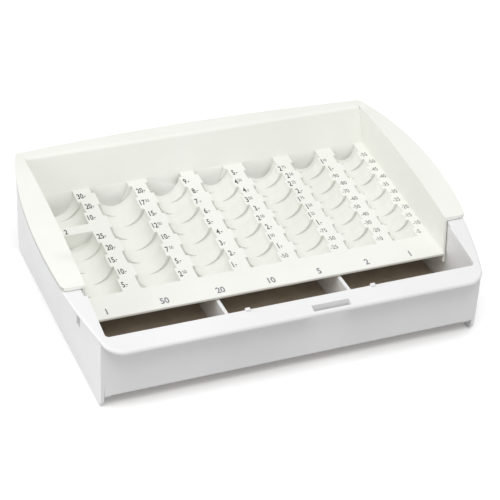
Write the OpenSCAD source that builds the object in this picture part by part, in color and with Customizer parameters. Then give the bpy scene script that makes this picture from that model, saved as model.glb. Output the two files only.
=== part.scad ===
// Till insert: a sloping coin-counting tray that rests on a note tray with three compartments.
// The coin tray lifts straight off. Millimetres, +Z up, front towards -Y.

/* [Coins] */
// Diameter of the coin in the rear of channel 1
coin_1r_d = 25.75; // [24:0.05:28]
// Thickness of the coin in the rear of channel 1
coin_1r_t = 2.2; // [1.8:0.01:2.8]
// Diameter of the coin in the front of channel 1
coin_1f_d = 23.25; // [21:0.05:25]
// Thickness of the coin in the front of channel 1
coin_1f_t = 2.33; // [1.8:0.01:2.8]
// Diameter of the coin in channel 2
coin_2_d = 24.25; // [22:0.05:27]
// Thickness of the coin in channel 2
coin_2_t = 2.38; // [1.8:0.01:2.8]
// Diameter of the coin in channel 3
coin_3_d = 22.25; // [20:0.05:25]
// Thickness of the coin in channel 3
coin_3_t = 2.14; // [1.8:0.01:2.8]
// Diameter of the coin in channel 4
coin_4_d = 19.75; // [18:0.05:23]
// Thickness of the coin in channel 4
coin_4_t = 1.93; // [1.5:0.01:2.5]
// Diameter of the coin in channel 5
coin_5_d = 21.25; // [19:0.05:24]
// Thickness of the coin in channel 5
coin_5_t = 1.67; // [1.4:0.01:2.4]
// Diameter of the coin in channel 6
coin_6_d = 18.75; // [17:0.05:22]
// Thickness of the coin in channel 6
coin_6_t = 1.67; // [1.4:0.01:2.4]
// Diameter of the coin in channel 7
coin_7_d = 16.25; // [14:0.05:20]
// Thickness of the coin in channel 7
coin_7_t = 1.67; // [1.4:0.01:2.4]
// Coins counted in one group
group_coins = 5; // [4:1:6]
// Play across a coin in its channel
coin_play = 1.4; // [0.5:0.1:2.5]
// Length of a group against the bare height of its coins
group_room = 1.055; // [1.02:0.005:1.1]

/* [Coin tray] */
// Slope of the coin bed, rising to the rear
bed_slope = 5.73; // [4:0.01:8]
// Height of the coin bed's face at the front end of the channels
bed_z = 37.4; // [35:0.1:41]
// Length of a channel along the slope
channel_len = 106; // [98:0.5:118]
// Sideways step between one group of coins and the next
group_step = 2; // [1:0.1:4]
// Width of the land between two channels
land_w = 11.7; // [9:0.1:16]
// Room between the left wall and the shell of channel 1
left_land = 0.1; // [0.05:0.05:6]
// Land between channel 7 and the right wall
right_land = 7.9; // [6:0.05:14]
// Distance along the slope from the channel fronts to the crossbar in channel 1
crossbar_at = 61.5; // [58:0.5:66]
// Width of the crossbar
crossbar_w = 8; // [6:0.5:12]
// Width of the label strip in front of the channels
strip_w = 21; // [16:0.5:26]
// Thickness of the coin bed
bed_t = 2; // [1.5:0.1:3]
// Thickness of a channel's shell
shell_t = 1.6; // [1.2:0.1:2.2]
// Thickness of the tray's side and back walls
wall_t = 1.8; // [1.4:0.1:2.2]
// How far the side walls reach below the coin bed
wall_skirt = 7.5; // [4:0.5:10]
// Backward lean of the back wall
wall_lean = 22.5; // [16:0.5:26]
// Thickness of the flanges
flange_t = 2.2; // [1.8:0.1:3.2]
// Width of a side flange at its widest
flange_w = 17.6; // [14:0.2:22]
// Width of the rear flange at its corners
rear_flange_w = 8.6; // [7:0.2:12]
// How far the rear flange bows out in the middle
rear_bow = 6; // [3:0.5:9]
// Set-back of the side flanges behind the label strip's front edge
flange_back = 4.4; // [3:0.2:10]
// Radius of the side flanges' front corners
flange_corner_r = 4; // [2:0.5:6]

/* [Arched top] */
// Radius of the arch that flanges and lips follow
crown_r = 640; // [560:5:800]
// Height of the arch at its highest
crown_z = 71.8; // [68:0.2:78]
// Distance of the highest line behind the front panel's face
crown_y = 169; // [155:1:185]
// Radius of the flanges' outer edge, seen from above
side_arc_r = 322; // [290:2:380]
// Distance of the widest place behind the front panel's face
side_arc_y = 90; // [82:1:98]

/* [Note tray] */
// Thickness of the side plates
plate_t = 2.4; // [2:0.1:4]
// Thickness of the front and rear panels
panel_t = 2.4; // [2:0.1:3.2]
// Open depth of the compartments in front of the coin tray
note_gap = 36.7; // [32:0.1:42]
// Height of the panels' lower edges above the table
panel_gap = 8.5; // [6:0.5:11]
// Radius of the side plates' lower corners
foot_r = 6; // [3:0.5:8]
// Thickness of the lips
lip_t = 3; // [2:0.1:4]
// Overhang of the front lip
lip_overhang = 10.4; // [9:0.1:15]
// Distance of the opening's front edge behind the front panel's face
opening_y = 2.6; // [2.5:0.1:6]
// Radius of the front lip's outer corners
lip_corner_r = 15; // [6:0.5:18]
// Radius of the opening's front corners
opening_r = 2.5; // [1.5:0.1:6]
// How far the lip reaches inside the side plates in front of the coin tray
lip_inward = 1.6; // [0.5:0.1:2.5]
// How much the lip stands above the arch's line at the front panel's face
lip_rise = 2.5; // [1:0.1:4]
// Set-back of the lips' outer edge under the flanges
lip_inset = 0.6; // [0.2:0.1:2]
// Length of the slot in the front lip
slot_len = 24.5; // [18:0.5:32]
// Width of the slot in the front lip
slot_w = 4.8; // [4.2:0.1:5.6]
// Distance of the slot's middle to the right of the middle plane
slot_x = 18.4; // [0:0.1:30]
// Width of the bridge between the slot and the front panel's face
slot_back = 3.8; // [2.5:0.1:4.5]
// Width of a nib on the opening's front edge
nib_w = 3; // [2:0.1:5]
// Depth of a nib
nib_d = 1.8; // [1.2:0.1:3]
// Height of a nib above the lip
nib_h = 1.6; // [1:0.1:2.5]
// Distance of a nib to the right of its divider
nib_shift = 3.5; // [2:0.1:12]
// Distance of the window in a side plate behind the front panel's face
window_y = 40; // [36:0.5:60]
// Length of the window
window_len = 6.5; // [4.5:0.5:9]
// Height of the window's lower edge above the table
window_z = 31; // [22:0.5:34]
// Height of the window
window_h = 10; // [6:0.5:14]
// Width of the rails under the floor panel
rail_w = 5; // [3:0.5:8]
// Thickness of the rails under the floor panel
rail_t = 2.5; // [1.5:0.1:3.5]
// Thickness of the floor panel
floor_t = 2; // [1.5:0.1:3]
// Thickness of the dividers
divider_t = 2.4; // [2:0.1:4]
// Distance of the left divider's middle to the left of the middle plane
divider_left_x = 36.1; // [30:0.1:44]
// Distance of the right divider's middle to the right of the middle plane
divider_right_x = 45.7; // [36:0.1:50]

/* [Clearances] */
// Gap between the coin tray and the note tray
tray_gap = 0.4; // [0.3:0.05:0.8]
// Gap between the channels and the dividers
divider_gap = 2.5; // [1:0.5:4]
// Gap between the label strip's underside and the dividers
strip_gap = 0.8; // [0.4:0.1:3]
// Gap between the lip's inward part and the coin tray
lip_gap = 1.5; // [0.5:0.1:3]
// Gap round the floor panel
floor_gap = 0.3; // [0.1:0.05:0.6]

/* [Hidden] */
$fn = 96;
arch_fn = 720;
corner_ease = 1.02;
columns = 7;
coin_d = [coin_1r_d, coin_2_d, coin_3_d, coin_4_d, coin_5_d, coin_6_d, coin_7_d];
coin_t = [coin_1r_t, coin_2_t, coin_3_t, coin_4_t, coin_5_t, coin_6_t, coin_7_t];
widths = [for (d = coin_d) d + coin_play];
function group_len(t) = group_coins * t * group_room;
function sum_to(list, n) = n < 1 ? 0 : list[n - 1] + sum_to(list, n - 1);

// Across: inside of the coin tray, then outwards through its wall to the side plate
first_edge = left_land + shell_t + group_step / 2;
group_lap = 0.05;
end_skin = 0.02;
inner_w = first_edge + sum_to(widths, columns) + (columns - 1) * land_w + right_land;
half_in = inner_w / 2;
half_out = half_in + wall_t;
plate_in = half_out + tray_gap;
plate_out = plate_in + plate_t;
function left_edge(i) = -half_in + first_edge + sum_to(widths, i) + i * land_w;
function centre(i) = left_edge(i) + widths[i] / 2;
function cell_lo(i) = i == 0 ? -half_in : left_edge(i) - land_w / 2;
function cell_hi(i) = i == columns - 1 ? half_in : cell_lo(i + 1);
split_x = left_edge(0) + widths[0] - (coin_1f_d + coin_play) / 2;
rear_at = crossbar_at + crossbar_w;
deepest = max(widths) / 2 + shell_t;

// Depth and height, measured from the front panel's face and the table
strip_y = panel_t + note_gap;
bed_y = strip_y + strip_w * cos(bed_slope);
function on_bed(s, h) = [bed_y + s * cos(bed_slope) - h * sin(bed_slope),
                         bed_z + s * sin(bed_slope) + h * cos(bed_slope)];
flange_y = strip_y + flange_back;
lip_depth = flange_t + tray_gap;
under_lip = lip_depth + lip_t;
arch_c = [crown_y, crown_z - crown_r];
function arch_at(y, depth) = arch_c[1] + sqrt(pow(crown_r - depth, 2) - pow(y - crown_y, 2));
lip_turn = atan(lip_rise / flange_y);
lip_hinge = [flange_y, arch_at(flange_y, lip_depth)];

// Back wall: foot, direction up it, direction through it and the place where it meets the arch
wall_foot = on_bed(channel_len, 0);
wall_up = [sin(wall_lean), cos(wall_lean)];
wall_in = [cos(wall_lean), -sin(wall_lean)];
foot_in = wall_foot - arch_c;
foot_dot = foot_in * wall_up;
wall_run = sqrt(foot_dot * foot_dot - foot_in * foot_in + crown_r * crown_r) - foot_dot;
wall_top = wall_foot + wall_run * wall_up;
wall_back_y = wall_top[0] + wall_t * wall_in[0];
base_d = wall_back_y + tray_gap + panel_t;
rear_y = wall_top[0] + rear_flange_w + rear_bow;
rear_arc_r = (half_out * half_out + rear_bow * rear_bow) / (2 * rear_bow);
side_arc_x = half_in + flange_w - side_arc_r;

front_y = -lip_overhang;
middle_y = (front_y + rear_y) / 2;
lip_split = strip_y - lip_gap;
floor_z = panel_gap + floor_t;
divider_z = on_bed(-strip_w, -bed_t)[1] - strip_gap;
tall = crown_z + 20;
far = 2 * crown_r;
ivory = [0.93, 0.93, 0.89];
white = [0.93, 0.935, 0.94];
board = [0.36, 0.3, 0.23];

// Moves the insert so that the middle of its footprint is the origin
module centred() translate([0, -middle_y, 0]) children();

// Extrudes a side view, drawn as depth and height, from one width to another
module across(x0, x1) translate([x0, 0, 0]) rotate([90, 0, 90]) linear_extrude(x1 - x0) children();

// Puts its children in the coin bed's own frame: across, along the slope, out of the bed
module bed_frame() translate([0, bed_y, bed_z]) rotate([bed_slope, 0, 0]) children();

// Mirrors a piece to the other side
module other_side() mirror([1, 0, 0]) children();

module arch_disc(depth) translate(arch_c) circle(r = crown_r - depth, $fn = arch_fn);

// The same disc for the lips: in front of the flanges it is turned up about their front ends
module lip_disc(depth) {
    arch_disc(depth);
    translate(lip_hinge) rotate(-lip_turn) translate(-lip_hinge) arch_disc(depth);
}

// Side view of everything under the arch, from one height up
module under_arch(depth, y0, y1, z0) intersection() {
    translate([y0, z0]) square([y1 - y0, tall - z0]);
    arch_disc(depth);
}

// Side view of a sheet that follows the arch
module arch_sheet(depth, t, y0, y1) intersection() {
    translate([y0, 0]) square([y1 - y0, tall]);
    difference() {
        arch_disc(depth);
        arch_disc(depth + t);
    }
}

// The same two views for what follows the lips
module under_lips(depth, y0, y1, z0) intersection() {
    translate([y0, z0]) square([y1 - y0, tall - z0]);
    lip_disc(depth);
}
module lip_sheet(depth, t, y0, y1) intersection() {
    translate([y0, 0]) square([y1 - y0, tall]);
    difference() {
        lip_disc(depth);
        lip_disc(depth + t);
    }
}

// Plan of everything inside the bowed right side
module side_plan(inset) translate([side_arc_x, side_arc_y]) rotate(180)
    circle(r = side_arc_r - inset, $fn = arch_fn);

// Plan of the sharp corner to take off where a straight front edge meets the bowed right side.
// The circle is eased a little so that it crosses both edges instead of just touching them.
module corner_plan(y0, r, inset) {
    side_r = side_arc_r - inset;
    drop = side_arc_y - y0 - r;
    c = [side_arc_x + sqrt(pow(side_r - r, 2) - drop * drop), y0 + r];
    out = (c - [side_arc_x, side_arc_y]) / (side_r - r);
    difference() {
        polygon([c, [c[0], y0 - r], [c[0] + 4 * r, y0 - r], c + 4 * r * out]);
        translate(c) circle(r = r * corner_ease);
    }
}

// Plan of the tray's bowed rear edge
module rear_plan() translate([0, rear_y - rear_arc_r]) circle(r = rear_arc_r, $fn = 2 * arch_fn);

// Plan of the opening over the note compartments
module opening_plan() {
    half = plate_in - lip_inward;
    turn_y = opening_y + opening_r;
    translate([-half, turn_y]) square([2 * half, base_d]);
    translate([opening_r - half, opening_y]) square([2 * (half - opening_r), base_d]);
    for (side = [-1, 1]) translate([side * (half - opening_r), turn_y]) circle(r = opening_r);
}

module front_panel() color(white) centred() across(-plate_in, plate_in)
    under_lips(under_lip, 0, panel_t, panel_gap);

module rear_panel() color(white) centred() across(-plate_in, plate_in)
    under_arch(lip_depth, base_d - panel_t, base_d, panel_gap);

// Side plate: a skid with rounded lower corners and a window below the lip
module side_plate() centred() difference() {
    across(-plate_out, -plate_in) {
        difference() {
            under_lips(under_lip, 0, base_d, 0);
            square(foot_r);
            translate([base_d - foot_r, 0]) square(foot_r);
        }
        for (y = [foot_r, base_d - foot_r]) translate([y, foot_r]) circle(r = foot_r);
    }
    translate([-plate_out - 1, window_y, window_z]) cube([plate_t + 2, window_len, window_h]);
}
module side_plate_left() color(white) side_plate();
module side_plate_right() color(white) other_side() side_plate();

// Front lip: both rounded corners, the slot and two nibs on the opening's edge
module front_lip() color(white) centred() {
    difference() {
        intersection() {
            across(-far, far) lip_sheet(lip_depth, lip_t, front_y, lip_split);
            linear_extrude(tall) side_plan(lip_inset);
            linear_extrude(tall) other_side() side_plan(lip_inset);
        }
        linear_extrude(tall) {
            opening_plan();
            corner_plan(front_y, lip_corner_r, lip_inset);
            other_side() corner_plan(front_y, lip_corner_r, lip_inset);
            translate([slot_x - slot_len / 2, -slot_back - slot_w]) square([slot_len, slot_w]);
        }
    }
    for (x = [nib_shift - divider_left_x, nib_shift + divider_right_x]) across(x - nib_w / 2, x + nib_w / 2)
        lip_sheet(lip_depth - nib_h, nib_h, opening_y - nib_d, opening_y);
}

// Side lip: a ledge outside the side plate that carries the tray's flange
module side_lip() centred() intersection() {
    across(plate_in, far) lip_sheet(lip_depth, lip_t, lip_split, base_d);
    linear_extrude(tall) side_plan(lip_inset);
}
module side_lip_left() color(white) other_side() side_lip();
module side_lip_right() color(white) side_lip();

module floor_rail() centred() translate([-plate_in, panel_t, panel_gap - rail_t])
    cube([rail_w, base_d - 2 * panel_t, rail_t]);
module floor_rail_left() color(white) floor_rail();
module floor_rail_right() color(white) other_side() floor_rail();

module floor_panel() color(board) centred()
    translate([-plate_in + floor_gap, panel_t + floor_gap, panel_gap])
        cube([2 * (plate_in - floor_gap), base_d - 2 * (panel_t + floor_gap), floor_t]);

// Divider: runs under the label strip, then steps down to pass under the channels
module divider(x) centred() across(x - divider_t / 2, x + divider_t / 2) {
    low = -deepest - divider_gap;
    step_y = on_bed(-shell_t, 0)[0] - divider_gap;
    step_z = on_bed(0, low)[1];
    end_y = base_d - panel_t;
    polygon([[panel_t, floor_z], [end_y, floor_z], [end_y, on_bed(channel_len, low)[1]],
             on_bed(channel_len, low), on_bed(0, low), [step_y, step_z], [step_y, divider_z],
             [panel_t, divider_z]]);
}
module divider_left() color(white) divider(-divider_left_x);
module divider_right() color(white) divider(divider_right_x);

module label_strip() color(ivory) centred() bed_frame()
    translate([-half_in, -strip_w, -bed_t]) cube([inner_w, strip_w, bed_t]);

// Cylinder lying along the slope, its seam turned up into the open
module lying_rod(r, h) rotate([-90, 0, 0]) rotate([0, 0, -90]) cylinder(r = r, h = h);

// Row of cylinders along the slope, one for each group, stepping left and right in turn
module groups(r, pitch, s0, s1, over) {
    n = ceil((s1 - s0) / pitch - 0.2);
    for (k = [0:n - 1]) translate([(k % 2 == 0 ? -1 : 1) * group_step / 2, s0 + k * pitch, 0])
        lying_rod(r, k == n - 1 ? s1 - s0 - k * pitch + over : pitch + group_lap);
}

// Everything in front of the back wall's face, carried on below the bed
module before_wall() {
    lean = tan(wall_lean + bed_slope) * tall;
    end = channel_len - end_skin;
    across(-far, far) polygon([[-tall, -tall], [end - lean, -tall], [end + lean, tall], [-tall, tall]]);
}

// Stepped trough of a channel; one that ends at the back wall follows its lean
module trough(r, t, s0, s1) {
    if (s1 < channel_len) groups(r, group_len(t), s0, s1, 0);
    else intersection() {
        groups(r, group_len(t), s0, s1, shell_t);
        before_wall();
    }
}

// Channel: a land plate over a hollow body, with a stepped trough cut into both
module channel(x, d, t, s0, s1, lo, hi) color(ivory) centred() bed_frame() difference() {
    r = (d + coin_play) / 2;
    body_r = r + shell_t;
    body_l = s1 - s0 + 2 * shell_t;
    union() {
        translate([lo, s0, -bed_t]) cube([hi - lo, s1 - s0, bed_t]);
        difference() {
            union() {
                for (side = [-1, 1]) translate([x + side * group_step / 2, s0 - shell_t, 0])
                    lying_rod(body_r, body_l);
                translate([x - group_step / 2, s0 - shell_t, -body_r])
                    cube([group_step, body_l, body_r]);
            }
            translate([x - far / 2, s0 - far / 2, -bed_t]) cube(far);
        }
    }
    translate([x, 0, 0]) trough(r, t, s0, s1);
}

// Channel that runs from the label strip to the back wall
module long_channel(i) channel(centre(i), coin_d[i], coin_t[i], 0, channel_len, cell_lo(i), cell_hi(i));
module coin_channel_1_front()
    channel(split_x, coin_1f_d, coin_1f_t, 0, crossbar_at, cell_lo(0), cell_hi(0));
module coin_channel_1_rear()
    channel(centre(0), coin_1r_d, coin_1r_t, rear_at, channel_len, cell_lo(0), cell_hi(0));
module coin_channel_2() long_channel(1);
module coin_channel_3() long_channel(2);
module coin_channel_4() long_channel(3);
module coin_channel_5() long_channel(4);
module coin_channel_6() long_channel(5);
module coin_channel_7() long_channel(6);

module channel_crossbar() color(ivory) centred() bed_frame()
    translate([cell_lo(0), crossbar_at, -bed_t]) cube([cell_hi(0) - cell_lo(0), crossbar_w, bed_t]);

// Back wall: a leaning sheet from the bed's rear edge up to the underside of the rear flange
module back_wall() color(ivory) centred() across(-half_in, half_in) intersection() {
    foot_w = wall_t / cos(wall_lean + bed_slope);
    polygon([on_bed(channel_len, -bed_t), wall_foot, wall_top, wall_top + wall_t * wall_in,
             on_bed(channel_len + foot_w, 0), on_bed(channel_len + foot_w, -bed_t)]);
    arch_disc(flange_t);
}

// Rear flange: its front edge carries on the back wall's front face
module rear_flange() color(ivory) centred() intersection() {
    across(-half_in, half_in) intersection() {
        arch_sheet(0, flange_t, wall_foot[0], rear_y);
        polygon([wall_foot, wall_foot + 2 * wall_run * wall_up, [rear_y + tall, 2 * tall], [rear_y, 0]]);
    }
    linear_extrude(tall) rear_plan();
}

// Side wall of the tray, from its leaning front edge to the back wall
module tray_wall() centred() across(-half_out, -half_in) intersection() {
    under_arch(flange_t, strip_y, wall_back_y, 0);
    polygon([on_bed(-strip_w, -wall_skirt), on_bed(channel_len * 2, -wall_skirt),
             on_bed(channel_len * 2, tall), [flange_y, tall], [flange_y, arch_at(flange_y, flange_t)]]);
}
module tray_wall_left() color(ivory) tray_wall();
module tray_wall_right() color(ivory) other_side() tray_wall();

// Side flange: straight inside, bowed outside, lying over the side lip
module tray_flange() centred() difference() {
    intersection() {
        across(half_in, far) arch_sheet(0, flange_t, flange_y, rear_y);
        linear_extrude(tall) side_plan(0);
        linear_extrude(tall) rear_plan();
    }
    linear_extrude(tall) corner_plan(flange_y, flange_corner_r, 0);
}
module tray_flange_left() color(ivory) other_side() tray_flange();
module tray_flange_right() color(ivory) tray_flange();

front_panel();
rear_panel();
side_plate_left();
side_plate_right();
front_lip();
side_lip_left();
side_lip_right();
floor_rail_left();
floor_rail_right();
floor_panel();
divider_left();
divider_right();
label_strip();
coin_channel_1_front();
coin_channel_1_rear();
coin_channel_2();
coin_channel_3();
coin_channel_4();
coin_channel_5();
coin_channel_6();
coin_channel_7();
channel_crossbar();
back_wall();
rear_flange();
tray_wall_left();
tray_wall_right();
tray_flange_left();
tray_flange_right();
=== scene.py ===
import math

import bmesh
import bpy
from mathutils import Matrix, Vector


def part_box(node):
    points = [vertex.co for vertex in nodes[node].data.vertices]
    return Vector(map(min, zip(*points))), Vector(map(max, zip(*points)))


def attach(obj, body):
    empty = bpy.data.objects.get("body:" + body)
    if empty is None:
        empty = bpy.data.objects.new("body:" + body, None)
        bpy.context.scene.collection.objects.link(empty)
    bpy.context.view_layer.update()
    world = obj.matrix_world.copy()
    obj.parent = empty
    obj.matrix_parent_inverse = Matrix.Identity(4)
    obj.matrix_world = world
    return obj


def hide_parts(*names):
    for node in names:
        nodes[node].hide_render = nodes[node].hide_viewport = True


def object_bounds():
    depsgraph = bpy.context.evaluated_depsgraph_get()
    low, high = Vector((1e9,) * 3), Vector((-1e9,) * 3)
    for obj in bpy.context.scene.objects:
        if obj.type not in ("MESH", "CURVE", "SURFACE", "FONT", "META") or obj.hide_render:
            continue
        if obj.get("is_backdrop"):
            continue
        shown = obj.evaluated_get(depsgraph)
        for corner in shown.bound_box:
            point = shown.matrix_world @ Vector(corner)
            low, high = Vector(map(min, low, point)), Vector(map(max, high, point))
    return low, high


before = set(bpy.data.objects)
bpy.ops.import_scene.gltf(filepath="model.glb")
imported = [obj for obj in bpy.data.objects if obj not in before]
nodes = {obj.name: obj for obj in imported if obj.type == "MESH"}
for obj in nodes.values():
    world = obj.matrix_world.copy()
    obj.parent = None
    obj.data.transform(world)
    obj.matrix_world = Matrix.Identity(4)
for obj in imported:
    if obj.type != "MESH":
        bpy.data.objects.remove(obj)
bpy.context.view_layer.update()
mm = 0.001
print("frame loaded:", len(nodes), "nodes")

# places of the two mouldings, measured on the CAD nodes
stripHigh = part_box("label_strip")[1]
wallLow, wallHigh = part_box("tray_wall_left")
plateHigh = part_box("side_plate_left")[1]
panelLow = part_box("front_panel")[0]
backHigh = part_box("back_wall")[1]
innerHalf = -wallHigh.x  # inner face of the coin tray's side wall
plateInner = -plateHigh.x

bed = {
    "slope": math.radians(5.73),
    "thick": 2.0 * mm,
    "land": 11.7 * mm,
    "step": 2.0 * mm,
    "play": 1.4 * mm,
    "groupRoom": 1.055,
    "groupCoins": 5,
    "firstEdge": 2.7 * mm,  # left wall to the first channel's edge
    "stripWidth": 21.0 * mm,
    "length": 106.0 * mm,
    "crossbarAt": 61.5 * mm,
    "crossbarWidth": 8.0 * mm,
}
bedCos, bedSin = math.cos(bed["slope"]), math.sin(bed["slope"])
bedFrontY = stripHigh.y - bed["thick"] * bedSin
bedFrontZ = stripHigh.z


def bedPoint(x, s, h):  # across, up the slope, out of the bed
    return Vector((x, bedFrontY + s * bedCos - h * bedSin, bedFrontZ + s * bedSin + h * bedCos))


def alongBed(p):  # the same, backwards: distance up the slope and out of the bed
    y, z = p.y - bedFrontY, p.z - bedFrontZ
    return y * bedCos + z * bedSin, z * bedCos - y * bedSin


# materials


def noiseNode(tree, coords, scale, detail):
    noise = tree.nodes.new("ShaderNodeTexNoise")
    noise.inputs["Scale"].default_value = scale
    noise.inputs["Detail"].default_value = detail
    tree.links.new(coords.outputs["Object"], noise.inputs["Vector"])
    return noise


def colourRamp(tree, source, low, high, lowAt=0.3, highAt=0.7):
    ramp = tree.nodes.new("ShaderNodeValToRGB")
    ramp.color_ramp.elements[0].position = lowAt
    ramp.color_ramp.elements[1].position = highAt
    ramp.color_ramp.elements[0].color = (*low, 1)
    ramp.color_ramp.elements[1].color = (*high, 1)
    tree.links.new(source, ramp.inputs["Fac"])
    return ramp


def rangeNode(tree, source, low, high, lowAt=0.3, highAt=0.7):
    span = tree.nodes.new("ShaderNodeMapRange")
    span.inputs["From Min"].default_value = lowAt
    span.inputs["From Max"].default_value = highAt
    span.inputs["To Min"].default_value = low
    span.inputs["To Max"].default_value = high
    tree.links.new(source, span.inputs["Value"])
    return span


def multiply(tree, first, second, share=None):  # share: a socket, or none for all of it
    mix = tree.nodes.new("ShaderNodeMix")
    mix.data_type = "RGBA"
    mix.blend_type = "MULTIPLY"
    mix.inputs["Factor"].default_value = 1
    if share is not None:
        tree.links.new(share, mix.inputs["Factor"])
    tree.links.new(first, mix.inputs["A"])
    tree.links.new(second, mix.inputs["B"])
    return mix.outputs["Result"]


def product(tree, first, second):
    both = tree.nodes.new("ShaderNodeMath")
    both.operation = "MULTIPLY"
    tree.links.new(first, both.inputs[0])
    tree.links.new(second, both.inputs[1])
    return both.outputs["Value"]


def dotNode(tree, source, axis):
    dot = tree.nodes.new("ShaderNodeVectorMath")
    dot.operation = "DOT_PRODUCT"
    dot.inputs[1].default_value = axis
    tree.links.new(source, dot.inputs[0])
    return dot.outputs["Value"]


shadeSpan = {  # from where to where each painted shade fades
    "openSky": (0.35, 0.82),
    "leaning": (0.6, 0.7),
    "upright": (0.94, 0.97),
    "edgeTurn": (0.3, 0.7),
}


def hollowTint(tree, tint, look):  # painted shade: corners, and seams to a neighbour, are greyer where ambient occlusion finds them
    hollow = tree.nodes.new("ShaderNodeAmbientOcclusion")
    hollow.only_local = look["hollowAlone"]
    hollow.samples = 8
    hollow.inputs["Distance"].default_value = look["hollowReach"]
    grey = rangeNode(tree, hollow.outputs["AO"], look["paintedHollowGrey"], 1, *shadeSpan["openSky"])
    return multiply(tree, tint.outputs["Color"], grey.outputs["Result"])


def endShade(tree, coords, colour, look):  # painted shade: leaning end walls get greyer towards the floor
    top = bedFrontZ * bedCos - bedFrontY * bedSin
    depth = dotNode(tree, coords.outputs["Object"], (0, -bedSin, bedCos))
    grey = rangeNode(tree, depth, look["paintedEndGrey"], 1, top - look["endDeep"], top)
    geometry = tree.nodes.new("ShaderNodeNewGeometry")
    facing = dotNode(tree, geometry.outputs["True Normal"], (0, -bedCos, -bedSin))
    leaning = rangeNode(tree, facing, 0, 1, *shadeSpan["leaning"])
    notUpright = rangeNode(tree, facing, 1, 0, *shadeSpan["upright"])
    both = product(tree, leaning.outputs["Result"], notUpright.outputs["Result"])
    return multiply(tree, colour, grey.outputs["Result"], both)


def edgeShade(tree, coords, colour, look):  # painted shade: the flange's outer edge is greyer than its top
    geometry = tree.nodes.new("ShaderNodeNewGeometry")
    across = dotNode(tree, geometry.outputs["Normal"], (1, 0, 0))
    side = dotNode(tree, coords.outputs["Object"], (1 / innerHalf, 0, 0))  # about -1 left, 1 right
    outward = product(tree, across, side)
    grey = rangeNode(tree, outward, 1, look["paintedEdgeGrey"], *shadeSpan["edgeTurn"])
    return multiply(tree, colour, grey.outputs["Result"])


cloudDetail = 3


def surface(look):  # clouded colour, then the painted shades, roughness and bump of a fine grain
    mat = bpy.data.materials.new(look["name"])
    mat.use_nodes = True
    tree = mat.node_tree
    shader = tree.nodes["Principled BSDF"]
    coords = tree.nodes.new("ShaderNodeTexCoord")
    cloud = noiseNode(tree, coords, look["cloudScale"], cloudDetail)
    grain = noiseNode(tree, coords, look["grainScale"], look["grainDetail"])
    tint = colourRamp(tree, cloud.outputs["Fac"], look["dark"], look["light"])
    colour = hollowTint(tree, tint, look) if "paintedHollowGrey" in look else tint.outputs["Color"]
    if "paintedEndGrey" in look:
        colour = endShade(tree, coords, colour, look)
    if "paintedEdgeGrey" in look:
        colour = edgeShade(tree, coords, colour, look)
    tree.links.new(colour, shader.inputs["Base Color"])
    rough = rangeNode(tree, grain.outputs["Fac"], *look["rough"])
    tree.links.new(rough.outputs["Result"], shader.inputs["Roughness"])
    bump = tree.nodes.new("ShaderNodeBump")
    bump.inputs["Strength"].default_value = look["bump"]
    bump.inputs["Distance"].default_value = look["bumpDepth"]
    tree.links.new(grain.outputs["Fac"], bump.inputs["Height"])
    tree.links.new(bump.outputs["Normal"], shader.inputs["Normal"])
    shader.inputs["Specular IOR Level"].default_value = look["gloss"]
    return mat


ivoryLook = {
    "name": "ivoryPlastic",
    "dark": (0.80, 0.805, 0.755),
    "light": (0.835, 0.84, 0.795),
    "cloudScale": 22,
    "grainScale": 1400,
    "grainDetail": 2,
    "rough": (0.42, 0.54),
    "bump": 0.12,
    "bumpDepth": 0.00005,
    "gloss": 0.4,
}
# the troughs' ivory, with painted shade in corners and on the end walls
shadedTroughLook = {
    **ivoryLook,
    "name": "ivoryTroughPaintedShade",
    "hollowAlone": True,
    "hollowReach": 7 * mm,
    "paintedHollowGrey": 0.70,
    "endDeep": 9 * mm,
    "paintedEndGrey": 0.72,
}
# the flanges' ivory, with painted shade on the outer edge and where they lie on the lip
shadedFlangeLook = {
    **ivoryLook,
    "name": "ivoryFlangePaintedShade",
    "paintedEdgeGrey": 0.6,
    "hollowAlone": False,  # painted shade, darkest where it lies on the lip
    "hollowReach": 2.5 * mm,
    "paintedHollowGrey": 0.08,
}
whiteLook = {
    "name": "whitePlastic",
    "dark": (0.755, 0.755, 0.755),
    "light": (0.79, 0.79, 0.793),
    "cloudScale": 18,
    "grainScale": 1200,
    "grainDetail": 2,
    "rough": (0.44, 0.56),
    "bump": 0.14,
    "bumpDepth": 0.00006,
    "gloss": 0.4,
}
boardLook = {
    "name": "brownBoard",
    "dark": (0.47, 0.395, 0.315),
    "light": (0.55, 0.465, 0.375),
    "cloudScale": 90,
    "grainScale": 700,
    "grainDetail": 6,
    "rough": (0.6, 0.8),
    "bump": 0.3,
    "bumpDepth": 0.0001,
    "gloss": 0.25,
}
inkLook = {
    "name": "markInk",
    "dark": (0.05, 0.05, 0.054),
    "light": (0.08, 0.08, 0.086),
    "cloudScale": 400,
    "grainScale": 2400,
    "grainDetail": 2,
    "rough": (0.5, 0.65),
    "bump": 0.1,
    "bumpDepth": 0.00002,
    "gloss": 0.3,
}
labelLook = {
    **inkLook,
    "name": "labelInk",
    "dark": (0.23, 0.23, 0.255),
    "light": (0.27, 0.27, 0.30),
}
ivory = surface(ivoryLook)
# the trough and flange copies of the ivory carry painted shade
shadedTroughIvory = surface(shadedTroughLook)
shadedFlangeIvory = surface(shadedFlangeLook)
white = surface(whiteLook)
board = surface(boardLook)
ink = surface(inkLook)
labelInk = surface(labelLook)
print("materials made")

# pieces

roundAngle = math.radians(28)  # edges sharper than this can be rounded off
shadeAngle = math.radians(31)  # and edges sharper than this stay sharp in the shading
flatAngle = math.radians(0.3)
near = 0.02 * mm
trayBody, noteBody = "coin_tray", "note_tray"


def middle(e):
    return (e.verts[0].co + e.verts[1].co) / 2


def facesUp(e):
    return any(f.normal.z > 0.5 for f in e.link_faces)


def onPlane(e, axis, value):
    return all(abs(v.co[axis] - value) < near for v in e.verts)


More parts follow.
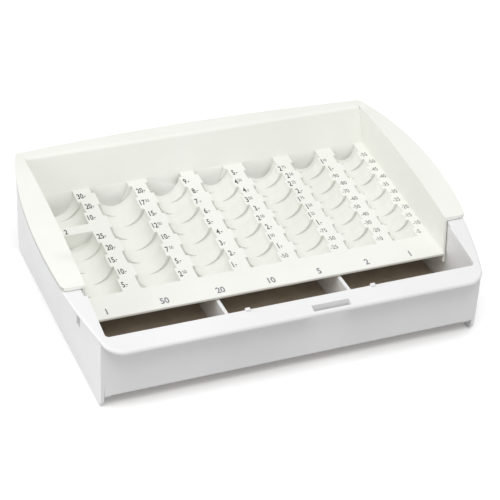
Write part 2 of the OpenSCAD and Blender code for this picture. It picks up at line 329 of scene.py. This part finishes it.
def copyOf(node):
    bm = bmesh.new()
    bm.from_mesh(nodes[node].data)
    bmesh.ops.remove_doubles(bm, verts=bm.verts, dist=1e-6)
    bmesh.ops.dissolve_limit(bm, angle_limit=flatAngle, verts=bm.verts, edges=bm.edges)
    return bm


def roundOff(bm, pick, width, segments):
    edges = [e for e in bm.edges if len(e.link_faces) == 2 and e.is_convex]
    edges = [e for e in edges if e.calc_face_angle(0) > roundAngle and pick(e)]
    bmesh.ops.bevel(
        bm,
        geom=edges,
        offset=width,
        offset_type="OFFSET",
        segments=segments,
        profile=0.5,
        affect="EDGES",
        clamp_overlap=True,
        material=-1,
    )


def finishPiece(bm, name, body, slot, material, *stoodFor, flatFaces=True):
    mesh = bpy.data.meshes.new(name)
    bm.to_mesh(mesh)
    bm.free()
    mesh.shade_smooth()
    mesh.set_sharp_from_angle(angle=shadeAngle)
    mesh.materials.append(material)
    obj = bpy.data.objects.new(name, mesh)
    bpy.context.scene.collection.objects.link(obj)
    if flatFaces:
        flat = obj.modifiers.new("flatFaces", "WEIGHTED_NORMAL")
        flat.keep_sharp = True  # big faces shade flat and roundings turn
        flat.weight = 90
    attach(obj, body)
    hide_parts(*stoodFor)
    return obj


def keepNode(node, material):
    for place in nodes[node].material_slots:
        place.material = material


# note tray: lips with a round nose, plates and panels with softened edges

lipShape = {
    "nose": 1.35 * mm,  # the clamp holds it to about 1 mm on the side lips
    "crisp": 0.3 * mm,  # and this one to about 0.03 mm
    "frontEdge": -8.4 * mm,  # in front of this line, measured from the panel's face
    "cornerX": 100 * mm,
    "cornerY": 1.5 * mm,
    "sideEdge": plateInner - 1 * mm,
}
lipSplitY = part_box("side_lip_left")[0].y
panelFaceY = panelLow.y


def lipOutside(e):
    p = middle(e)
    x, y = abs(p.x), p.y - panelFaceY
    corner = x > lipShape["cornerX"] and y < lipShape["cornerY"]
    return y < lipShape["frontEdge"] or corner or x > lipShape["sideEdge"]


def onSplit(e):  # where the front lip meets the side lips
    return onPlane(e, 1, lipSplitY)


bm = copyOf("front_lip")
roundOff(bm, lambda e: lipOutside(e) and not onSplit(e), lipShape["nose"], 4)
roundOff(bm, lambda e: not lipOutside(e) and not onSplit(e), lipShape["crisp"], 2)
finishPiece(bm, "frontLip", noteBody, "white_plastic", white, "front_lip")

for side in ("left", "right"):
    bm = copyOf("side_lip_" + side)
    roundOff(
        bm,
        lambda e: lipOutside(e) and not onSplit(e) and not onPlane(e, 1, plateHigh.y),
        lipShape["nose"],
        4,
    )
    finishPiece(bm, side + "Lip", noteBody, "white_plastic", white, "side_lip_" + side)

plateShape = {
    "edge": 0.9 * mm,
    "skidTop": 20 * mm,  # edges below this are rounded
    "panelEdge": 0.6 * mm,
    "panelInset": plateInner - 1 * mm,
    "windowY": (39.9 * mm, 46.6 * mm),  # from the front panel's face
    "windowZ": (30.9 * mm, 41.1 * mm),
}


def inWindow(p):
    front, rear = plateShape["windowY"]
    foot, top = plateShape["windowZ"]
    return front < p.y - panelFaceY < rear and foot < p.z < top


def closeWindow(bm):  # the right plate has none
    sides = [f for f in bm.faces if abs(f.normal.x) < 0.1 and inWindow(f.calc_center_median())]
    bmesh.ops.delete(bm, geom=sides, context="FACES")
    bmesh.ops.holes_fill(bm, edges=[e for e in bm.edges if e.is_boundary], sides=0)
    bmesh.ops.recalc_face_normals(bm, faces=bm.faces)
    print("window closed:", len(sides), "sides")


for side in ("left", "right"):
    bm = copyOf("side_plate_" + side)
    if side == "right":
        closeWindow(bm)
    roundOff(
        bm,
        lambda e: not facesUp(e) and middle(e).z < plateShape["skidTop"],
        plateShape["edge"],
        3,
    )
    finishPiece(bm, side + "Plate", noteBody, "white_plastic", white, "side_plate_" + side)


def panelFoot(e):  # lower edges, short of the side plates
    p = middle(e)
    return p.z < panelLow.z + 0.1 * mm and abs(p.x) < plateShape["panelInset"]


for end in ("front", "rear"):
    bm = copyOf(end + "_panel")
    roundOff(bm, panelFoot, plateShape["panelEdge"], 3)
    finishPiece(bm, end + "Panel", noteBody, "white_plastic", white, end + "_panel")

dividerShape = {"edge": 0.5 * mm}
for side in ("left", "right"):
    low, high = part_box("divider_" + side)
    joints = ((1, low.y), (1, high.y), (2, low.z))  # against the panels and the floor
    bm = copyOf("divider_" + side)
    roundOff(
        bm,
        lambda e: not any(onPlane(e, *joint) for joint in joints),
        dividerShape["edge"],
        2,
    )
    finishPiece(bm, side + "Divider", noteBody, "white_plastic", white, "divider_" + side)

keepNode("floor_rail_left", white)
keepNode("floor_rail_right", white)
keepNode("floor_panel", board)
print("note tray made")

# coin tray: side flanges with a round rear corner, softened edges elsewhere, then the channels

trayShape = {
    "flange": 1.0 * mm,  # the clamp lets this and flangeInside have no width on the side flanges
    "rearCorner": 5.0 * mm,
    "flangeInside": 0.7 * mm,
    "rim": 1.9 * mm,
    "strip": 0.5 * mm,
    "wall": 0.5 * mm,
    "wallNose": 6 * mm,  # how far back the side wall's front edges are rounded
}
rimY = backHigh.y - 2.0 * mm  # where the side flange passes behind the back wall
flangeInnerX = innerHalf + 0.1 * mm


def rearCorner(e):  # upright edge where the bowed side meets the bowed rear
    run = e.verts[0].co - e.verts[1].co
    p = middle(e)
    return abs(run.x) + abs(run.y) < 0.05 * mm and p.y > rimY and abs(p.x) > innerHalf + 2 * mm


for side in ("left", "right"):
    bm = copyOf("tray_flange_" + side)
    roundOff(bm, rearCorner, trayShape["rearCorner"], 8)
    roundOff(bm, lambda e: abs(middle(e).x) > flangeInnerX, trayShape["flange"], 4)
    roundOff(
        bm,
        lambda e: abs(middle(e).x) < flangeInnerX and facesUp(e) and middle(e).y < rimY,
        trayShape["flangeInside"],
        3,
    )
    finishPiece(bm, side + "Flange", trayBody, "ivory_plastic", shadedFlangeIvory, "tray_flange_" + side)

    bm = copyOf("tray_wall_" + side)
    noseY = wallLow.y + trayShape["wallNose"]
    roundOff(bm, lambda e: middle(e).y < noseY and not facesUp(e), trayShape["wall"], 2)
    finishPiece(bm, side + "Wall", trayBody, "ivory_plastic", ivory, "tray_wall_" + side)

bm = copyOf("rear_flange")
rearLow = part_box("rear_flange")[0]
rimLine = rearLow.y + 1.6 * mm
rearLine = rearLow.y + 5 * mm
stripHalf = innerHalf - 1 * mm  # short of the side walls
roundOff(
    bm,
    lambda e: middle(e).y < rimLine and facesUp(e) and abs(middle(e).x) < stripHalf,
    trayShape["rim"],
    6,
)
roundOff(
    bm,
    lambda e: middle(e).y > rearLine and abs(middle(e).x) < innerHalf - 0.01 * mm,
    trayShape["flange"],
    4,
)
finishPiece(bm, "rearFlange", trayBody, "ivory_plastic", ivory, "rear_flange")

bm = copyOf("label_strip")
stripFront = -bed["stripWidth"] + 0.1 * mm
roundOff(
    bm,
    lambda e: alongBed(middle(e))[0] < stripFront and abs(middle(e).x) < stripHalf,
    trayShape["strip"],
    3,
)
finishPiece(bm, "labelStrip", trayBody, "ivory_plastic", ivory, "label_strip")

# channels: one row of coin groups each, stepping left and right in turn

coins = [  # diameter, thickness, value of one coin in hundredths, groups marked
    {"d": 25.75, "t": 2.20, "value": 200, "groups": 3},
    {"d": 23.25, "t": 2.33, "value": 100, "groups": 5},
    {"d": 24.25, "t": 2.38, "value": 50, "groups": 8},
    {"d": 22.25, "t": 2.14, "value": 20, "groups": 9},
    {"d": 19.75, "t": 1.93, "value": 10, "groups": 10},
    {"d": 21.25, "t": 1.67, "value": 5, "groups": 11},
    {"d": 18.75, "t": 1.67, "value": 2, "groups": 11},
    {"d": 16.25, "t": 1.67, "value": 1, "groups": 11},
]
channelShape = {
    "edge": 0.3 * mm,
    "shortest": 0.2,  # a last group below this share of a length isn't made
    "level": 0.9999,  # a face of the bed faces up at least this much
    "across": 0.3,  # and the round of a trough faces along it at most this much
    "roundNear": 0.03 * mm,
    "seamNear": 0.1 * mm,
}


def channelPlaces():
    places = []
    left = -innerHalf + bed["firstEdge"]
    for coin in [coins[0]] + coins[2:]:
        width = coin["d"] * mm + bed["play"]
        places.append(left + width / 2)
        left += width + bed["land"]
    split = places[0] + (coins[0]["d"] - coins[1]["d"]) / 2 * mm  # right edges line up
    return [places[0], split] + places[1:]


def groupRow(i):  # length of a group, where the row starts and ends
    pitch = bed["groupCoins"] * coins[i]["t"] * mm * bed["groupRoom"]
    start = bed["crossbarAt"] + bed["crossbarWidth"] if i == 0 else 0
    return pitch, start, bed["crossbarAt"] if i == 1 else bed["length"]


def groupShift(k):
    return bed["step"] / 2 * (-1 if k % 2 == 0 else 1)


def turnTrough(mesh, i):  # shade lands flat and each group as the round it is
    radius = (coins[i]["d"] * mm + bed["play"]) / 2
    pitch, start, end = groupRow(i)
    last = math.ceil((end - start) / pitch - channelShape["shortest"]) - 1
    up = Vector((0, -bedSin, bedCos))
    along = Vector((0, bedCos, bedSin))
    normals = [Vector((0, 0, 0))] * len(mesh.loops)
    for face in mesh.polygons:
        k = min(max(int((alongBed(face.center)[0] - start) / pitch), 0), last)
        x = places[i] + groupShift(k)
        spots = [mesh.vertices[v].co for v in face.vertices]
        arms = [Vector((x - p.x, 0, 0)) - up * alongBed(p)[1] for p in spots]
        offRound = max(abs(arm.length - radius) for arm in arms)
        if face.normal.dot(up) > channelShape["level"]:
            arms = [up] * len(spots)
        elif abs(face.normal.dot(along)) > channelShape["across"]:
            continue
        elif offRound > channelShape["roundNear"]:
            continue
        for loop, arm in zip(face.loop_indices, arms):
            normals[loop] = arm.normalized()
    mesh.normals_split_custom_set(normals)


def bySeam(s):  # where the channels meet the strip, the crossbar and the back wall
    return any(abs(s - seam) < channelShape["seamNear"] for seam in channelSeams)


def troughEdge(e, low, high):  # along the trough's rim on the bed, not on a seam to a neighbour
    if onPlane(e, 0, low.x) or onPlane(e, 0, high.x):
        return False
    ends = [alongBed(v.co) for v in e.verts]
    if any(abs(h) > near for s, h in ends):
        return False
    return not all(bySeam(s) for s, h in ends)


places = channelPlaces()
channelSeams = [0, bed["crossbarAt"], bed["crossbarAt"] + bed["crossbarWidth"], bed["length"]]
channelNodes = ["coin_channel_1_rear", "coin_channel_1_front"]
channelNodes += ["coin_channel_%d" % n for n in range(2, 8)]
for i, node in enumerate(channelNodes):
    low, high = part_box(node)
    bm = copyOf(node)
    roundOff(bm, lambda e: troughEdge(e, low, high), channelShape["edge"], 2)
    pieceName = "channel" + node[len("coin_channel_") :].replace("_", "").capitalize()
    piece = finishPiece(
        bm, pieceName, trayBody, "ivory_plastic", shadedTroughIvory, node, flatFaces=False
    )
    turnTrough(piece.data, i)
keepNode("channel_crossbar", ivory)
keepNode("back_wall", ivory)
print("coin tray made")

# value marks: plain numbers beside each group of coins and one in front of each channel

markShape = {
    "high": 5.0 * mm,
    "wide": 0.60,  # digits are narrower than the font's own
    "heavy": 0.018,  # how far the outline of a digit is thickened
    "fontHigh": 0.69,  # height of a digit in this font at size 1
    "raised": 0.6,  # size of raised hundredths
    "raisedWide": 1.1,
    "lowHigh": 3.7 * mm,  # marks below one whole
    "lowWide": 0.76,
    "lowShift": 0.3 * mm,
    "dashWide": 1.15,
    "dashDrop": 0.45,
    "dotHigh": 0.8,  # the dot under the dash
    "dotShift": 0.1 * mm,
    "gap": 1.2 * mm,  # from the trough to its mark
    "gapAfterTwo": 0.35 * mm,  # after two digits, after a one and after another digit
    "gapAfterOne": 1.0 * mm,
    "gapAfterDigit": 0.7 * mm,
    "lift": 0.02 * mm,
    "thick": 0.02 * mm,
}
labelShape = {
    "high": 5.0 * mm,
    "wide": 0.80,
    "heavy": 0.024,
    "at": -17.5 * mm,  # down the slope from the channels
    "shift": 3.9 * mm,  # left of the channel's middle
    "shiftSmall": 5.2 * mm,
    "barHigh": 4.6 * mm,
    "barWide": 0.66,
    "barRise": 1.2 * mm,
}


def textMesh(words, high, wide, heavy=0):
    curve = bpy.data.curves.new("mark", "FONT")
    curve.body = words
    curve.size = 1
    curve.resolution_u = 3
    curve.extrude = 0
    curve.offset = heavy
    obj = bpy.data.objects.new("mark", curve)
    bpy.context.scene.collection.objects.link(obj)
    bpy.context.view_layer.update()
    depsgraph = bpy.context.evaluated_depsgraph_get()
    mesh = bpy.data.meshes.new_from_object(obj.evaluated_get(depsgraph))
    bpy.data.objects.remove(obj)
    bpy.data.curves.remove(curve)
    scale = high / markShape["fontHigh"]
    mesh.transform(Matrix.Diagonal((scale * wide, scale, 1, 1)))
    return mesh


def span(mesh):
    xs = [v.co.x for v in mesh.vertices]
    return min(xs), max(xs)


def layOnBed(bm, mesh, x, s):
    for v in mesh.vertices:
        v.co = bedPoint(x + v.co.x, s + v.co.y, markShape["lift"])
    bm.from_mesh(mesh)
    bpy.data.meshes.remove(mesh)


def gapAfter(digits):
    if len(digits) > 1:
        return markShape["gapAfterTwo"]
    return markShape["gapAfterOne" if digits == "1" else "gapAfterDigit"]


def amount(hundredths):  # whole number, hundredths and the dash that stands for none
    whole, rest = divmod(hundredths, 100)
    if rest == 0:
        return str(whole), "", "-"
    if whole == 0:
        return "", "-" + str(rest), ""
    return str(whole), str(rest), ""


marks = bmesh.new()
for i, coin in enumerate(coins):
    radius = (coin["d"] * mm + bed["play"]) / 2
    pitch, start = groupRow(i)[:2]
    for k in range(coin["groups"]):
        x = places[i] + radius + groupShift(k) + markShape["gap"]
        s = start + (k + 0.5) * pitch
        big, small, dash = amount(coin["value"] * bed["groupCoins"] * (k + 1))
        high, wide, heavy = markShape["high"], markShape["wide"], markShape["heavy"]
        if big:
            mesh = textMesh(big, high, wide, heavy)
            low, top = span(mesh)
            layOnBed(marks, mesh, x - low, s - high / 2)
            x += top - low + gapAfter(big)
        if big and small:
            mesh = textMesh(small, high * markShape["raised"], wide * markShape["raisedWide"])
            layOnBed(marks, mesh, x - span(mesh)[0], s + high * (0.5 - markShape["raised"]))
        elif small:
            lowHigh, shift = markShape["lowHigh"], markShape["lowShift"]
            mesh = textMesh(small, lowHigh, markShape["lowWide"])
            layOnBed(marks, mesh, x - span(mesh)[0] - shift, s - lowHigh / 2)
        if dash:
            mesh = textMesh(dash, high, wide * markShape["dashWide"])
            layOnBed(marks, mesh, x - span(mesh)[0], s - high * markShape["dashDrop"])
            mesh = textMesh(".", high * markShape["dotHigh"], wide)
            layOnBed(marks, mesh, x - span(mesh)[0] - markShape["dotShift"], s - high / 2)
labels = bmesh.new()
for i, coin in enumerate(coins):
    value = coin["value"] // 100 if coin["value"] >= 100 else coin["value"]
    x = places[i] - labelShape["shift" if value > 9 or i < 2 else "shiftSmall"]
    if i == 0:  # the largest coin's value stands on the crossbar
        s = bed["crossbarAt"] + labelShape["barRise"]
        high, wide, heavy = labelShape["barHigh"], labelShape["barWide"], markShape["heavy"]
    else:
        s = labelShape["at"]
        high, wide, heavy = labelShape["high"], labelShape["wide"], labelShape["heavy"]
    mesh = textMesh(str(value), high, wide, heavy)
    layOnBed(marks if i == 0 else labels, mesh, x - sum(span(mesh)) / 2, s)


def printOn(bm, name, material):
    bmesh.ops.remove_doubles(bm, verts=bm.verts, dist=1e-7)
    bmesh.ops.solidify(bm, geom=bm.faces[:], thickness=-markShape["thick"])
    bmesh.ops.recalc_face_normals(bm, faces=bm.faces)
    mesh = bpy.data.meshes.new(name)
    bm.to_mesh(mesh)
    bm.free()
    mesh.materials.append(material)
    obj = bpy.data.objects.new(name, mesh)
    bpy.context.scene.collection.objects.link(obj)
    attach(obj, trayBody)
    print(name, "made:", len(mesh.polygons), "faces")


printOn(marks, "valueMarks", ink)
printOn(labels, "stripLabels", labelInk)

# floor, light and camera

floorLook = {
    "name": "paleFloor",
    "dark": (0.93, 0.93, 0.93),
    "light": (0.95, 0.95, 0.95),
    "cloudScale": 3,
    "grainScale": 60,
    "grainDetail": 2,
    "rough": (0.9, 1.0),
    "bump": 0.0,
    "bumpDepth": 0.0001,
    "gloss": 0.0,
    "glow": 0.15,
    "bounce": (0.58, 0.58, 0.58),
    "half": 6,
}


def seenRays(tree):  # rays that show the background: from the camera, off gloss and through glass
    path = tree.nodes.new("ShaderNodeLightPath")
    seen = path.outputs["Is Camera Ray"]
    for kind in ("Is Glossy Ray", "Is Transmission Ray"):
        either = tree.nodes.new("ShaderNodeMath")
        either.operation = "MAXIMUM"
        tree.links.new(seen, either.inputs[0])
        tree.links.new(path.outputs[kind], either.inputs[1])
        seen = either.outputs["Value"]
    return seen


def dimBounce(mat, look):  # white where it is seen, grey where it throws light at the object
    tree = mat.node_tree
    out = tree.nodes["Material Output"]
    grey = tree.nodes.new("ShaderNodeBsdfDiffuse")
    grey.inputs["Color"].default_value = (*look["bounce"], 1)
    shader = tree.nodes["Principled BSDF"]
    shader.inputs["Emission Color"].default_value = (1, 1, 1, 1)
    shader.inputs["Emission Strength"].default_value = look["glow"]
    mix = tree.nodes.new("ShaderNodeMixShader")
    tree.links.new(seenRays(tree), mix.inputs["Fac"])
    tree.links.new(grey.outputs["BSDF"], mix.inputs[1])
    tree.links.new(shader.outputs["BSDF"], mix.inputs[2])
    tree.links.new(mix.outputs["Shader"], out.inputs["Surface"])


bm = bmesh.new()
bmesh.ops.create_grid(bm, x_segments=1, y_segments=1, size=floorLook["half"])
mesh = bpy.data.meshes.new("paleFloor")
bm.to_mesh(mesh)
bm.free()
floorMaterial = surface(floorLook)
dimBounce(floorMaterial, floorLook)
mesh.materials.append(floorMaterial)
floor = bpy.data.objects.new("paleFloor", mesh)
bpy.context.scene.collection.objects.link(floor)
floor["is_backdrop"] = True

world = bpy.data.worlds.new("studio")
world.use_nodes = True
bpy.context.scene.world = world
tree = world.node_tree
tree.nodes.clear()
ambient = 0.66
soft = tree.nodes.new("ShaderNodeBackground")
soft.inputs["Color"].default_value = (1, 1, 1, 1)
soft.inputs["Strength"].default_value = ambient
bright = tree.nodes.new("ShaderNodeBackground")
bright.inputs["Color"].default_value = (1, 1, 1, 1)
mix = tree.nodes.new("ShaderNodeMixShader")
out = tree.nodes.new("ShaderNodeOutputWorld")
tree.links.new(seenRays(tree), mix.inputs["Fac"])
tree.links.new(soft.outputs["Background"], mix.inputs[1])
tree.links.new(bright.outputs["Background"], mix.inputs[2])
tree.links.new(mix.outputs["Shader"], out.inputs["Surface"])


lamps = {
    "keyLamp": {"place": (-0.2, -0.6, 1.4), "size": 1.0, "power": 10.6},
    "sideLamp": {"place": (-1.3, 0.1, 0.45), "size": 0.8, "power": 5.0},
}
lampAim = (0, 0, 0.04)


def areaLamp(name, place, size, power):
    lamp = bpy.data.lights.new(name, "AREA")
    lamp.shape = "DISK"
    lamp.size = size
    lamp.energy = power
    obj = bpy.data.objects.new(name, lamp)
    bpy.context.scene.collection.objects.link(obj)
    obj.location = place
    obj.rotation_mode = "QUATERNION"
    obj.rotation_quaternion = (Vector(lampAim) - Vector(place)).to_track_quat("-Z", "Y")


for name, lamp in lamps.items():
    areaLamp(name, **lamp)

view = {
    "azimuth": -23.687,
    "elevation": 33.389,
    "roll": 3.105,
    "lens": 121.4,
    "sensor": 36,
    "place": (-0.3591, -0.83086, 0.6273),
    "clip": (0.01, 50),
}
az, el, roll = (math.radians(view[k]) for k in ("azimuth", "elevation", "roll"))
back = Vector((math.sin(az) * math.cos(el), -math.cos(az) * math.cos(el), math.sin(el)))
right = Vector((0, 0, 1)).cross(back).normalized()
up = back.cross(right)
tiltedRight = right * math.cos(roll) + up * math.sin(roll)
tiltedUp = up * math.cos(roll) - right * math.sin(roll)
camera = bpy.data.cameras.new("camera")
camera.sensor_width = view["sensor"]
camera.lens = view["lens"]
camera.clip_start, camera.clip_end = view["clip"]
cameraObject = bpy.data.objects.new("camera", camera)
bpy.context.scene.collection.objects.link(cameraObject)
turn = Matrix((tiltedRight, tiltedUp, back)).transposed()
cameraObject.matrix_world = Matrix.Translation(view["place"]) @ turn.to_4x4()
bpy.context.scene.camera = cameraObject
bpy.context.scene.view_settings.view_transform = "Standard"
print("stage set")

low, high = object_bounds()
